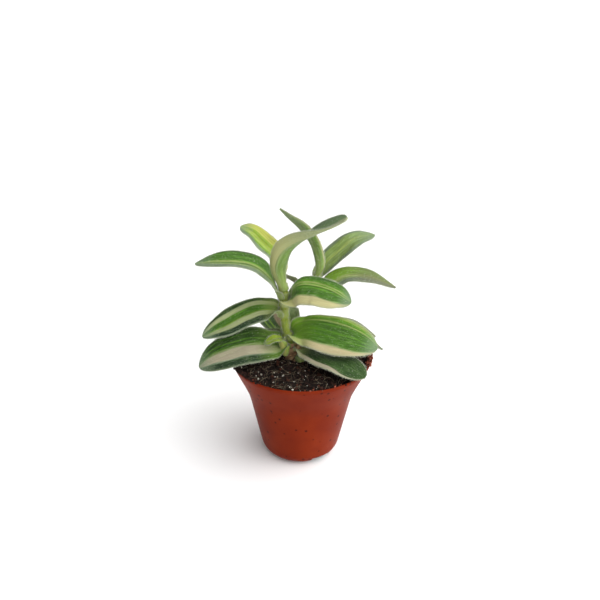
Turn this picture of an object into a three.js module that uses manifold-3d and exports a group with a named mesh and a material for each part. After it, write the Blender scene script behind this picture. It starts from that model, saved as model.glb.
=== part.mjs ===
// Potted white velvet tradescantia: two leafy stems in a small plastic nursery pot.
// Millimetres, +Z up. The origin lies on the pot's axis, at its underside, and the front is -Y.

import * as THREE from 'three';
import { mergeVertices } from 'three/addons/utils/BufferGeometryUtils.js';
import Module from 'manifold-3d';

const wasm = await Module();
wasm.setup();

// Clearance kept between neighbouring pieces, and how close two points count as one.
const GAP = 0.3;
const WELD = 1e-4;

// Pot: thin moulded wall, steep below the shoulder and flared above it, with a rounded foot.
const POT_HEIGHT = 46;
const RIM_RADIUS = 30;
const SHOULDER_HEIGHT = 30;
const SHOULDER_RADIUS = 22.5;
const FOOT_ROUNDING = 7;
const FOOT_FLAT_RADIUS = 10.4;
const FOOT_STEPS = 4;
const BODY_LEAN = 0.22;
const POT_WALL = 0.7;
const ROUND_SEGMENTS = 48;

// The bend at the shoulder, as steps in radius and height from it.
const SHOULDER_BEND = [[-0.8, -4], [0.2, 0], [1.9, 4]];

// How much wider the leaning wall is when it is measured level.
const LEVEL_WIDENING = 1.07;

// Drainage notches through the rounded foot: one at the back left and one at the front right.
const NOTCH_COUNT = 2;
const FIRST_NOTCH_ANGLE = 2.18;
const NOTCH_WIDTH = 9;
const NOTCH_HEIGHT = 3.7;
const NOTCH_START_RADIUS = 9.8;

// Soil: filled almost to the rim, with low lumps.
const SOIL_HEIGHT = 44.6;
const SOIL_CROWN = 0.5;
const SOIL_LUMPS = 0.4;
const SOIL_RINGS = 6;
const SOIL_FLAT_EDGE = 0.2;

// Stems: axis points from below the soil's surface up, with the radii at the foot and at the top. A
// short closed sheath rings the stem above each swollen node, and a leaf grows from the sheath's side.
const STEM_SIDES = 12;
const STEM_STEP = 2.5;
const NODE_SWELLING = 0.2;
const SWELLING_DROP = 0.3;
const SHEATH_WALL = 0.45;
const SHEATH_FLARE = 0.2;
const SHEATH_LIP = 0.2;
const TIP_LENGTH = 1;
const TIP_NARROWING = 0.6;
const TIP_ROUNDING = 0.2;

// Leaves: a half-rolled neck hugs the sheath and opens out into a thick ovate blade. The root spans part
// of the sheath's length, as shares of it, and leans out a little.
const ROOT_SPAN = [0.1, 0.7];
const ROOT_LEAN = 0.3;
const BLADE_THICKNESS = 0.95;
const MARGIN_THICKNESS = 0.65;
const ROOT_THICKNESS = 0.65;
const ROOT_HALF_TURN = 0.42 * Math.PI;
const NECK_LENGTH = 3.5;
const NECK_HALF_WIDTH = 5.2;
const NECK_SHARE = 0.6;
const UNROLL_LENGTH = 7;
const TIP_HALF_WIDTH = 0.35;
const FLATTEST_BEND = 0.002;
const BLUNT_END = { curve: 2.2, power: 0.5 };
const ACUTE_END = { curve: 1.4, power: 0.85 };
const LEAF_COLUMNS = 8;
const NECK_ROWS = [0, 0.3, 0.65, 1];
const BLADE_ROWS = [0.08, 0.18, 0.3, 0.44, 0.58, 0.72, 0.84, 0.92, 0.97, 1];

// Each leaf: how far up the stem its sheath starts and how long it is, the blade's midrib, the full
// width, how far along the blade it is widest, which way the upper side faces at the root and at the
// tip, how strongly the blade is rolled across (1/mm, a trough if positive and arched if negative), and
// how pointed its end is (0 blunt, 1 acute). A few leaves have a narrower neck, as a share of the
// blade's width, or a root that reaches less far round the stem.
const FRONT_STEM = {
  points: [[-1.5, 1, 38], [-2.2, 0.5, 45], [-4.6, 0, 51], [-6.2, 0, 57], [-7, 0, 62], [-7.5, 0, 67.5],
    [-7.4, 0, 72], [-7.4, 0, 76.5], [-8.4, 0, 80.5], [-8.9, 0.3, 82.8]],
  footRadius: 1.9,
  topRadius: 1.3,
  leaves: [
    { start: 8.6, sheath: 2.4, width: 15, widest: 0.6, trough: -0.02, pointed: 0.1,
      midrib: [[2, -3.5, 50], [9, -8.5, 50.5], [17, -14.5, 50.5], [25.5, -21, 47.5]],
      facing: [[0, 0, 1], [0.2, -0.3, 1]] },
    { start: 12, sheath: 2.6, width: 19, widest: 0.5, trough: 0.03, pointed: 0.2,
      midrib: [[-14, -4, 52.5], [-21, -6, 53], [-28.5, -9, 52], [-35, -11, 50], [-41.5, -13, 46.5]],
      facing: [[0, -0.5, 0.9], [-0.2, -0.4, 0.9]] },
    { start: 16.2, sheath: 2.6, width: 20, widest: 0.55, trough: -0.02, pointed: 0.3,
      midrib: [[2.5, -3, 59.5], [10.5, -5, 59.5], [18.5, -7, 58.5], [25.5, -9, 57], [31, -10, 54.5]],
      facing: [[0, -0.5, 0.9], [0.1, -0.4, 0.9]] },
    { start: 27, sheath: 3.5, width: 14.5, widest: 0.5, trough: 0.04, pointed: 0.3,
      midrib: [[-16.5, -1, 67.2], [-23, -3, 65.8], [-29.5, -6, 63.5], [-35.5, -8, 61], [-40, -10, 59]],
      facing: [[0, -0.4, 0.9], [-0.2, -0.4, 0.9]] },
    { start: 31.8, sheath: 3, width: 16, widest: 0.55, trough: -0.02, pointed: 0.2,
      midrib: [[-1.5, -4, 77.5], [4.5, -5, 78.5], [10, -7, 78], [14.5, -8, 77], [19.5, -9, 74.5]],
      facing: [[0, -0.4, 0.9], [0, -0.4, 0.9]] },
    { start: 35.3, sheath: 2.6, width: 13, widest: 0.54, trough: 0.06, pointed: 0.4, neckShare: 0.36,
      rootHalfTurn: 0.36 * Math.PI,
      midrib: [[-13.4, -3.5, 83.2], [-18.2, -4.2, 87.9], [-25.3, -5.2, 90.2], [-33.5, -6, 90.6],
        [-42, -6.5, 89.4]],
      facing: [[0.2, -0.2, 1], [0, -0.2, 1]] },
    { start: 39.2, sheath: 2.2, width: 9.4, widest: 0.45, trough: 0.26, pointed: -0.4, neckShare: 0.25,
      rootHalfTurn: 0.36 * Math.PI,
      midrib: [[-9.8, -5.4, 86.5], [-9.3, -6.8, 91], [-6.8, -8.3, 96.2], [-2.5, -9.8, 100], [2.2, -11, 102.9],
        [10.1, -13, 107.6], [16.3, -15, 111.9]],
      facing: [[0.2, 1.3, -0.3], [-0.3, -0.4, 0.9]] },
    { start: 42.4, sheath: 2, width: 10.6, widest: 0.5, trough: 0.12, pointed: 0, neckShare: 0.35,
      rootHalfTurn: 0.3 * Math.PI,
      midrib: [[-10.8, 7.2, 87.6], [-16.2, 11, 92], [-21, 13.6, 95.9], [-25.8, 15, 97.8]],
      facing: [[0.5, -0.6, 0.6], [0.4, -0.5, 0.7]] },
  ],
};
const BACK_STEM = {
  points: [[-1.5, 8, 38], [-2.2, 8, 45], [-5, 9, 53], [-6.8, 9, 60], [-6.2, 9.6, 65.5], [-3, 10.5, 69],
    [1.5, 11.7, 72], [5, 12.8, 75], [6.6, 13.2, 77.6], [7, 13.4, 80]],
  footRadius: 1.7,
  topRadius: 1.2,
  leaves: [
    { start: 7.8, sheath: 1.8, width: 9, widest: 0.5, trough: 0.1, pointed: 0.8,
      midrib: [[5, 11.5, 48], [16, 13.5, 48], [26, 13.5, 48.3], [36, 11, 43]],
      facing: [[0, 0, 1], [0.2, 0, 1]] },
    { start: 11.6, sheath: 2, width: 20, widest: 0.4, trough: 0.06, pointed: 0.5, neckShare: 0.42,
      midrib: [[-7.5, 15, 51.3], [-10, 20.5, 52.4], [-11.5, 26.5, 52.4], [-13, 32.5, 50.8], [-15.5, 38, 48]],
      facing: [[0, -0.5, 0.9], [0, -0.1, 1]] },
    { start: 14.6, sheath: 2, width: 12, widest: 0.5, trough: 0.05, pointed: 0.3,
      midrib: [[4, 12, 54], [12.5, 13.5, 53], [23, 15.5, 51.7], [33, 15.5, 47]],
      facing: [[0, -0.1, 1], [0.2, -0.1, 1]] },
    { start: 33.4, sheath: 1.8, width: 4.6, widest: 0.35, trough: 0.1, pointed: 0.5, neckShare: 0.5,
      rootHalfTurn: 0.2 * Math.PI,
      midrib: [[-2.2, 13.8, 73.2], [-4.8, 16.2, 74.3], [-8, 18, 75], [-11.5, 19.2, 74.8]],
      facing: [[0.2, 0.7, 0.5], [0, 0.75, 0.65]] },
    { start: 38.4, sheath: 2, width: 12, widest: 0.45, trough: 0.06, pointed: 0.7,
      midrib: [[10.5, 9, 74.2], [18, 10.5, 77.8], [24.5, 11, 78], [30.5, 10.5, 77], [39.5, 9.5, 73.5]],
      facing: [[0, -0.2, 1], [0, -0.2, 1]] },
    { start: 42.6, sheath: 1.8, width: 11.4, widest: 0.45, trough: 0.08, pointed: 0.4, neckShare: 0.2,
      rootHalfTurn: 0.12 * Math.PI,
      midrib: [[11.2, 17.5, 81.8], [13.5, 18.2, 83.8], [16.7, 19, 86.5], [20.2, 20, 89.4], [24, 21.4, 91.1],
        [31, 23.4, 91.9]],
      facing: [[-0.5, -0.5, 0.7], [-0.2, -0.5, 0.8]] },
    { start: 45.4, sheath: 1.8, width: 6, widest: 0.52, trough: 0.15, pointed: 0.6, neckShare: 0.25,
      rootHalfTurn: 0.14 * Math.PI,
      midrib: [[7.5, 10.3, 82.6], [6.1, 13.1, 88.4], [3.7, 16, 92.8], [-0.2, 19, 96.6], [-5, 21.5, 99.7],
        [-9.7, 23.5, 103.2]],
      facing: [[0.2, 0.9, 0.2], [0.3, 0.8, 0.5]] },
  ],
};

// A young side shoot in the axil of the second leaf: one small boat-shaped leaf over that leaf's blade.
const SIDE_SHOOT = {
  root: [[-7.6, -2.8, 53.6], [-8.2, -3.6, 55]],
  inward: [0.6, 0.8, 0],
  radius: 0.9,
  width: 5.5, widest: 0.5, trough: 0.2, pointed: 0.5,
  midrib: [[-11, -6, 56.2], [-15, -7.9, 54.9]],
  facing: [[0, -0.2, 1], [-0.2, -0.2, 1]],
  neckLength: 1.6,
  unrollLength: 4,
};

const { lerp, smoothstep, clamp } = THREE.MathUtils;
const vector = (coordinates) => new THREE.Vector3(...coordinates);
const smoothCurve = (points) => new THREE.CatmullRomCurve3(points, false, 'centripetal');

function namedMesh(name, solid, color, roughness) {
  const body = solid.getMesh();
  const geometry = new THREE.BufferGeometry();
  geometry.setAttribute('position', new THREE.BufferAttribute(body.vertProperties, 3));
  geometry.setIndex(new THREE.BufferAttribute(body.triVerts, 1));
  geometry.computeVertexNormals();
  const mesh = new THREE.Mesh(geometry, new THREE.MeshStandardMaterial({ color, roughness, metalness: 0 }));
  mesh.name = name;
  return mesh;
}

function toSolid(geometry) {
  const bare = geometry.clone();
  bare.deleteAttribute('normal');
  bare.deleteAttribute('uv');
  const merged = mergeVertices(bare, WELD);
  return new wasm.Manifold(new wasm.Mesh({
    numProp: 3,
    vertProperties: new Float32Array(merged.attributes.position.array),
    triVerts: new Uint32Array(merged.index.array),
  }));
}

// A lathed body stands on Z instead of three.js's Y.
function upright(profile, segments) {
  const geometry = new THREE.LatheGeometry(profile, segments);
  geometry.rotateX(Math.PI / 2);
  return geometry;
}

// The pot's outline from the foot's centre to a given height, moved inwards by an inset.
function potOutline(inset, topHeight) {
  const outline = [new THREE.Vector2(0, inset)];
  for (let step = 0; step <= FOOT_STEPS; step++) {
    const angle = (step / FOOT_STEPS) * (Math.PI / 2 - BODY_LEAN) - Math.PI / 2;
    const radius = FOOT_ROUNDING - inset;
    outline.push(new THREE.Vector2(
      FOOT_FLAT_RADIUS + radius * Math.cos(angle),
      FOOT_ROUNDING + radius * Math.sin(angle),
    ));
  }
  const moved = inset * LEVEL_WIDENING;
  for (const [out, up] of SHOULDER_BEND) {
    outline.push(new THREE.Vector2(SHOULDER_RADIUS + out - moved, SHOULDER_HEIGHT + up));
  }
  const [out, up] = SHOULDER_BEND.at(-1);
  const share = (topHeight - SHOULDER_HEIGHT - up) / (POT_HEIGHT - SHOULDER_HEIGHT - up);
  outline.push(new THREE.Vector2(lerp(SHOULDER_RADIUS + out, RIM_RADIUS, share) - moved, topHeight));
  return outline;
}

function makePot() {
  const wall = [...potOutline(0, POT_HEIGHT), ...potOutline(POT_WALL, POT_HEIGHT).reverse()];
  let pot = toSolid(upright(wall, ROUND_SEGMENTS));
  for (let notch = 0; notch < NOTCH_COUNT; notch++) {
    const cutter = new THREE.BoxGeometry(FOOT_ROUNDING, NOTCH_WIDTH, 2 * NOTCH_HEIGHT);
    cutter.translate(NOTCH_START_RADIUS + FOOT_ROUNDING / 2, 0, 0);
    cutter.rotateZ(FIRST_NOTCH_ANGLE + (notch / NOTCH_COUNT) * 2 * Math.PI);
    pot = pot.subtract(toSolid(cutter));
  }
  return namedMesh('pot', pot, 0xa8522f, 0.5);
}

// Low lumps, between -1.6 and 1.6, made of two crossing waves.
function lumps(x, y) {
  return Math.sin(0.55 * x + 1.2) * Math.cos(0.43 * y + 0.4) + 0.6 * Math.sin(0.9 * y - 0.7 * x);
}

function makeSoil(stems) {
  const side = potOutline(POT_WALL + GAP, SOIL_HEIGHT);
  const edge = side.at(-1).x;
  const top = [];
  for (let ring = SOIL_RINGS - 1; ring >= 0; ring--) {
    top.push(new THREE.Vector2(edge * (ring / SOIL_RINGS), SOIL_HEIGHT));
  }
  const geometry = upright([...side, ...top], ROUND_SEGMENTS);
  const position = geometry.attributes.position;
  for (let i = 0; i < position.count; i++) {
    const [x, y, z] = [position.getX(i), position.getY(i), position.getZ(i)];
    if (z > SOIL_HEIGHT - WELD) {
      const rise = smoothstep(1 - Math.hypot(x, y) / edge, 0, SOIL_FLAT_EDGE);
      position.setZ(i, z + rise * (SOIL_CROWN + SOIL_LUMPS * lumps(x, y)));
    }
  }
  let soil = toSolid(geometry);
  for (const stem of stems) {
    soil = soil.subtract(stemSolid(stem, GAP));
  }
  return namedMesh('soil', soil, 0x2b1c14, 0.95);
}

const stemCurve = (stem) => smoothCurve(stem.points.map(vector));

function bareRadius(stem, distance) {
  return lerp(stem.footRadius, stem.topRadius, distance / stemCurve(stem).getLength());
}

// The straight stem's outline, as radius and distance up the stem: nodes, sheaths and a rounded tip.
function stemProfile(stem, extra) {
  const length = stemCurve(stem).getLength();
  const rings = [];
  const add = (distance, offset) => {
    rings.push(new THREE.Vector2(bareRadius(stem, distance) + offset + extra, distance));
  };
  add(-extra, 0);
  let last = 0;
  for (const { start, sheath } of stem.leaves) {
    const steps = Math.floor((start - last) / STEM_STEP);
    for (let step = 1; step < steps; step++) {
      add(lerp(last, start, step / steps), 0);
    }
    add(start - SWELLING_DROP, NODE_SWELLING);
    add(start, SHEATH_WALL);
    add(start + sheath, SHEATH_WALL + SHEATH_FLARE);
    last = start + sheath + SHEATH_LIP;
    add(last, 0);
  }
  add(length - TIP_LENGTH, 0);
  rings.push(new THREE.Vector2((stem.topRadius + extra) * TIP_NARROWING, length - TIP_ROUNDING));
  return [new THREE.Vector2(0, -extra), ...rings, new THREE.Vector2(0, length + extra)];
}

// The straight stem, lathed round the Z axis, is bent so that its axis follows the stem's curve.
function stemSolid(stem, extra) {
  const curve = stemCurve(stem);
  const length = curve.getLength();
  const geometry = upright(stemProfile(stem, extra), STEM_SIDES);
  const position = geometry.attributes.position;
  for (let i = 0; i < position.count; i++) {
    const along = clamp(position.getZ(i) / length, 0, 1);
    const beyond = position.getZ(i) - along * length;
    const tangent = curve.getTangentAt(along);
    const right = new THREE.Vector3(1, 0, 0).addScaledVector(tangent, -tangent.x).normalize();
    const back = new THREE.Vector3().crossVectors(tangent, right);
    const corner = curve.getPointAt(along)
      .addScaledVector(right, position.getX(i))
      .addScaledVector(back, position.getY(i))
      .addScaledVector(tangent, beyond);
    position.setXYZ(i, corner.x, corner.y, corner.z);
  }
  return toSolid(geometry);
}

// Where a leaf leaves its stem: the rib from the sheath's side to the tip, the way the root's inside
// faces, and the radius the root is rolled to.
function rootOnStem(stem, leaf) {
  const curve = stemCurve(stem);
  const length = curve.getLength();
  const [low, high] = ROOT_SPAN.map((share) => (leaf.start + share * leaf.sheath) / length);
  const outward = vector(leaf.midrib[0]).sub(curve.getPointAt(high));
  const direction = curve.getTangentAt(high);
  outward.addScaledVector(direction, -outward.dot(direction)).normalize();
  const radius = bareRadius(stem, leaf.start) + SHEATH_WALL + SHEATH_FLARE + GAP + ROOT_THICKNESS / 2;
  const root = [
    curve.getPointAt(low).addScaledVector(outward, radius),
    curve.getPointAt(high).addScaledVector(outward, radius + ROOT_LEAN),
  ];
  return { rib: smoothCurve([...root, ...leaf.midrib.map(vector)]), inward: outward.negate(), radius };
}

// Half the blade's width from its neck, at 0, to its tip, at 1.
function bladeHalfWidth(leaf, along) {
  const half = leaf.width / 2;
  if (along < leaf.widest) {
    const neck = Math.min(NECK_HALF_WIDTH, (leaf.neckShare ?? NECK_SHARE) * half);
    return lerp(neck, half, Math.sin((along / leaf.widest) * Math.PI / 2));
  }
  const rest = (along - leaf.widest) / (1 - leaf.widest);
  const curve = lerp(BLUNT_END.curve, ACUTE_END.curve, leaf.pointed);
  const power = lerp(BLUNT_END.power, ACUTE_END.power, leaf.pointed);
  const fall = (1 - rest ** curve) ** power;
  return Math.max(TIP_HALF_WIDTH, half * fall);
}

function leafSolid(leaf, { rib, inward, radius }) {
  const length = rib.getLength();
  const neckLength = leaf.neckLength ?? NECK_LENGTH;
  const distances = [
    ...NECK_ROWS.map((share) => share * neckLength),
    ...BLADE_ROWS.map((share) => lerp(neckLength, length, share)),
  ];
  const upper = [];
  const lower = [];
  for (const distance of distances) {
    const along = Math.min(1, distance / length);
    const unrolled = smoothstep(distance, 0, leaf.unrollLength ?? UNROLL_LENGTH);
    const facing = vector(leaf.facing[0]).lerp(vector(leaf.facing[1]), along).normalize();
    facing.lerpVectors(inward, facing, unrolled);
    const tangent = rib.getTangentAt(along);
    const side = new THREE.Vector3().crossVectors(tangent, facing).normalize();
    const normal = new THREE.Vector3().crossVectors(side, tangent);
    const necked = smoothstep(distance, 0, neckLength);
    const halfTurn = leaf.rootHalfTurn ?? ROOT_HALF_TURN;
    const halfWidth = lerp(halfTurn * radius, bladeHalfWidth(leaf, along), necked);
    const rolled = lerp(1 / radius, leaf.trough, unrolled);
    const bend = Math.abs(rolled) < FLATTEST_BEND ? FLATTEST_BEND : rolled;
    for (let column = 0; column <= LEAF_COLUMNS; column++) {
      const across = (2 * column) / LEAF_COLUMNS - 1;
      const angle = across * halfWidth * bend;
      const middle = rib.getPointAt(along)
        .addScaledVector(side, Math.sin(angle) / bend)
        .addScaledVector(normal, (1 - Math.cos(angle)) / bend);
      const outward = normal.clone().multiplyScalar(Math.cos(angle)).addScaledVector(side, -Math.sin(angle));
      const blade = lerp(BLADE_THICKNESS, MARGIN_THICKNESS, across ** 2);
      const thickness = lerp(ROOT_THICKNESS, blade, necked);
      upper.push(middle.clone().addScaledVector(outward, thickness / 2));
      lower.push(middle.clone().addScaledVector(outward, -thickness / 2));
    }
  }
  return toSolid(slab(upper, lower, distances.length - 1, LEAF_COLUMNS));
}

// A closed slab between two grids of points, split into triangles alike on both faces.
function slab(upper, lower, rows, columns) {
  const at = (row, column) => row * (columns + 1) + column;
  const under = upper.length;
  const index = [];
  for (let row = 0; row < rows; row++) {
    for (let column = 0; column < columns; column++) {
      const a = at(row, column);
      const b = at(row, column + 1);
      const c = at(row + 1, column + 1);
      const d = at(row + 1, column);
      index.push(a, b, c, a, c, d);
      index.push(under + a, under + c, under + b, under + a, under + d, under + c);
    }
  }
  for (const [corner, next] of border(rows, columns, at)) {
    index.push(corner, under + corner, under + next, corner, under + next, next);
  }
  const geometry = new THREE.BufferGeometry().setFromPoints([...upper, ...lower]);
  geometry.setIndex(index);
  return geometry;
}

// The grid's outer edges, once round, as pairs of neighbouring corners.
function border(rows, columns, at) {
  const edges = [];
  for (let column = 0; column < columns; column++) {
    edges.push([at(0, column), at(0, column + 1)]);
    edges.push([at(rows, column + 1), at(rows, column)]);
  }
  for (let row = 0; row < rows; row++) {
    edges.push([at(row, columns), at(row + 1, columns)]);
    edges.push([at(row + 1, 0), at(row, 0)]);
  }
  return edges;
}

function makeSideShoot(shoot) {
  const rib = smoothCurve([...shoot.root, ...shoot.midrib].map(vector));
  const solid = leafSolid(shoot, { rib, inward: vector(shoot.inward), radius: shoot.radius });
  return namedMesh('side_shoot', solid, 0xa9c23f, 0.7);
}

const plant = new THREE.Group();
plant.name = 'potted_tradescantia';
plant.add(makePot());
plant.add(makeSoil([FRONT_STEM, BACK_STEM]));
for (const [place, stem] of [['front', FRONT_STEM], ['back', BACK_STEM]]) {
  plant.add(namedMesh(`stem_${place}`, stemSolid(stem, 0), 0x9db46a, 0.6));
  stem.leaves.forEach((leaf, i) => {
    plant.add(namedMesh(`leaf_${place}_${i + 1}`, leafSolid(leaf, rootOnStem(stem, leaf)), 0x5f9a3c, 0.7));
  });
}
plant.add(makeSideShoot(SIDE_SHOOT));

export default plant;
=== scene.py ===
"""Potted white velvet tradescantia: the looks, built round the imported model.

Blender works in metres. The plant's own sizes are given in millimetres and turned by MM. The origin lies
on the pot's axis at its underside, +Z is up and the front is -Y.
"""

import math

import bmesh
import bpy
import numpy as np
from mathutils import Matrix, Vector, noise


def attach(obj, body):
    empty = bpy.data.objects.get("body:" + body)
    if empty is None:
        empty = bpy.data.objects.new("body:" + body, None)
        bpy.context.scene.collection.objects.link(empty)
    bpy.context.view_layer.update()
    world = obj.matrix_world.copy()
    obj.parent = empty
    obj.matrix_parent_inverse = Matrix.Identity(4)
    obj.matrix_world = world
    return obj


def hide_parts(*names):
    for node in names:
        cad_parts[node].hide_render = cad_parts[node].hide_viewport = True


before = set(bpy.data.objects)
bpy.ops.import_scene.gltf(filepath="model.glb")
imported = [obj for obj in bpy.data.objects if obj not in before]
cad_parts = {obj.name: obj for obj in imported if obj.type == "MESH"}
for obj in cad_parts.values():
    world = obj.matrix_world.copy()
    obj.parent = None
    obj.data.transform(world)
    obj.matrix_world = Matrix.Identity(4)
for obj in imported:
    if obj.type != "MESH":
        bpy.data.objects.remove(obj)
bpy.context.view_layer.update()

BODY = "root"
MM = 0.001

# Camera, worked out from the pot's rim and foot in the photograph, in millimetres and degrees.
PHOTO_SIDE = 600
FOCAL_PIXELS = 700
EYE = (-0.74, -261.5, 190.76)
PITCH = 24.5
ROLL = 0.7
SENSOR_WIDTH = 36

# Light: from the right, a little in front and above. The lamp's spread is in degrees.
LIGHT_WAY = (0.95, -0.35, 0.7)
SKY_GLOW = 0.25
SOFTBOX_GLOW = 2.7
LAMP_STRENGTH = 0.6
LAMP_SPREAD = 40
FLOOR_HALF = 30000
FLOOR_GAP = 0.02

# Pot, the same driving sizes as the solid.
POT_HEIGHT = 46
RIM_RADIUS = 30
SHOULDER_HEIGHT = 30
SHOULDER_RADIUS = 22.5
SHOULDER_BEND = ((-0.8, -4), (0.2, 0), (1.9, 4))
FOOT_ROUNDING = 7
FOOT_FLAT_RADIUS = 10.4
BODY_LEAN = 0.22
POT_WALL = 0.7
LIP_HEIGHT = 0.35
LEVEL_WIDENING = 1.07
NOTCH_COUNT = 2
FIRST_NOTCH_ANGLE = 2.18
NOTCH_WIDTH = 9
NOTCH_HEIGHT = 3.7
NOTCH_START_RADIUS = 9.8
POT_SIDES = 160
# Sizes of the pot's patterns. The mould's own grain is a few hundredths of a millimetre, too fine to
# show, so it is drawn coarser.
FLOW_CLOUD = 14.3
SPECK_SPACING = 3.33
MOULD_GRAIN = 0.4

# Soil.
SOIL_HEIGHT = 44.6
SOIL_EDGE = 28.2
SOIL_CROWN = 0.5
SOIL_LUMPS = 0.4
SOIL_CLODS = 0.7
SOIL_CRUMBS = 0.5
SOIL_SINK = 0.3
SOIL_CELLS = 130
PEAT_GRAIN = 0.714
GRAIN_PIT = 0.333

# Loose matter on the soil and at the stems' feet: its dark and its light colour and its roughness.
GRAIN_LOOKS = {
    # Damp crumbled bog peat: nearly black, with no shine.
    "peat_crumb": ("#0a0605", "#34201a", 0.85),
    # Bark, shredded and composted: dark reddish flakes.
    "composted_bark": ("#170d09", "#42261a", 0.75),
    # Volcanic glass popped by heat: rough off-white beads.
    "expanded_perlite": ("#756f61", "#d2cec2", 0.6),
    # Peat that has dried on the rim: rusty brown.
    "dried_peat_crumb": ("#24110c", "#96523f", 0.85),
    # Coconut husk fibre: thin, stiff, straw-brown threads.
    "dry_coir_fibre": ("#24150f", "#9c8e76", 0.7),
    # Dead leaf sheath, dried on the stem: papery, light brown and dull.
    "dried_sheath": ("#5a412b", "#bb9c76", 0.8),
}

# Grains on the soil: how many, how far out as a share of the soil's radius, how high they sit, their
# smallest and largest size, how strongly the small ones outnumber the large, and how round they are.
GRAINS = (
    {"name": "peat_crumbs", "look": "peat_crumb", "number": 2600, "reach": 0.98, "lift": 0,
     "sizes": (0.25, 1.1), "smallness": 1, "detail": 1},
    {"name": "bark_bits", "look": "composted_bark", "number": 220, "reach": 0.95, "lift": 0.15,
     "sizes": (0.7, 1.9), "smallness": 1, "detail": 2},
    {"name": "perlite_grains", "look": "expanded_perlite", "number": 210, "reach": 0.96, "lift": 0.3,
     "sizes": (0.25, 1), "smallness": 3, "detail": 2},
)
GRAIN_SHAPES = 6

# Crumbs spilled on the rim: where round it their middle lies, in degrees, how far they spread, in
# radians, how high they are heaped and how many there are.
RIM_CRUMBS = (
    {"name": "rim_crumbs", "look": "dried_peat_crumb", "middle": -9, "spread": 0.1, "heap": 2.6,
     "number": 260},
    {"name": "rim_litter", "look": "dried_peat_crumb", "middle": 90, "spread": 1.6, "heap": 0.2,
     "number": 160},
    {"name": "rim_soil", "look": "peat_crumb", "middle": 205, "spread": 0.28, "heap": 1,
     "number": 480},
)
RIM_CRUMB_SIZES = (0.3, 1.1)

# Coir fibres.
FIBRE_COUNT = 900
FIBRE_REACH = 0.95
FIBRE_LENGTHS = (1.5, 6)
FIBRE_RADII = (0.03, 0.06)
FIBRE_RISE = 0.12

# Stems and their sheaths.
STEM_SIDES = 28
STEM_STEP = 0.35
STEM_RIDGES = 7
RIDGE_DEPTH = 0.02
NODE_SWELLING = 0.2
SWELLING_DROP = 0.3
SWELLING_SPAN = 0.8
SHEATH_WALL = 0.45
SHEATH_FLARE = 0.2
# How far up the stem it is fully corky, and where it is fully green.
CORKY_END = 8
GREEN_START = 13
# The stem's fine lines lie about 0.3 mm apart, too fine to show, so they are drawn coarser.
STREAK_WIDTH = 0.694
STREAK_LENGTH = 4.44

# Dried scales: how many are on the front and on the back stem, how far up, and their sizes.
SCALE_COUNTS = (70, 10)
SCALE_STARTS = (6.2, 13.5)
SCALE_LENGTHS = (1.2, 2.6)
SCALE_HALF_TURNS = (0.3, 0.6)
SCALE_CLEARANCES = (1.1, 2.4)
SCALE_FLARE = 0.7
SCALE_THICKNESS = 0.12

# Leaves.
BLADE_THICKNESS = 0.95
MARGIN_THICKNESS = 0.65
ROOT_THICKNESS = 0.65
ROOT_SPAN = (0.1, 0.7)
ROOT_LEAN = 0.3
ROOT_HALF_TURN = 0.42 * math.pi
NECK_LENGTH = 3.5
NECK_HALF_WIDTH = 5.2
NECK_SHARE = 0.6
UNROLL_LENGTH = 7
TIP_HALF_WIDTH = 0.35
# How a blunt blade closes beyond its widest place, and how much of that a fully pointed one changes.
END_CLOSING = 2.2
POINTED_CLOSING = 0.8
END_FULLNESS = 0.5
POINTED_FULLNESS = 0.35
FLATTEST_BEND = 0.002
LEAF_ROWS = 76
LEAF_COLUMNS = 30
ROW_CROWDING = 0.06
COLUMN_CROWDING = 1.5
MARGIN_ROUNDING = 5
MIDRIB_GROOVE = 0.16
MIDRIB_WIDTH = 0.7
MARGIN_WAVE = 0.22
MARGIN_WAVES = 2.3
# The veins lie 0.4 mm apart, too fine for a picture of the whole plant, so they are drawn coarser.
# The fine streaks between them lie this many times closer.
VEIN_PITCH = 1
FINE_VEINS = 2.3
# How far the edges of the colour bands wander and fray, as shares of the leaf's width.
BAND_WANDER = 0.14
BAND_FRAY = 0.06
BAND_SOFTNESS = 0.04

# Leaf colours: the greens from the darkest up, the bare creams, greyed and dried tissue, and the veil
# that the hairs lay over the upper side, the underside and the margins.
TINTS = {
    "night": "#21391f",
    "deep": "#2c4919",
    "green": "#406b16",
    "grass": "#538419",
    "fresh": "#749a2b",
    "moss": "#839a52",
    "lime": "#95ad33",
    "line": "#92a356",
    "cream": "#bdb683",
    "butter": "#c8c286",
    "straw": "#bbb85a",
    "buff": "#c0b28a",
    "pink": "#b0a78e",
    "milk": "#a4ad7c",
    "pale": "#7c9156",
    "grey": "#6f8066",
    "mauve": "#5c5a45",
    "brown": "#54422f",
    "husk": "#8c7a5e",
    "felt": "#8fa36c",
    "underside": "#8d9a63",
    "margin": "#8c957a",
}
COMMON_ROOT_TINT = ("line", 0.3)
COMMON_TIP = ("grey", 0.9)

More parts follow.
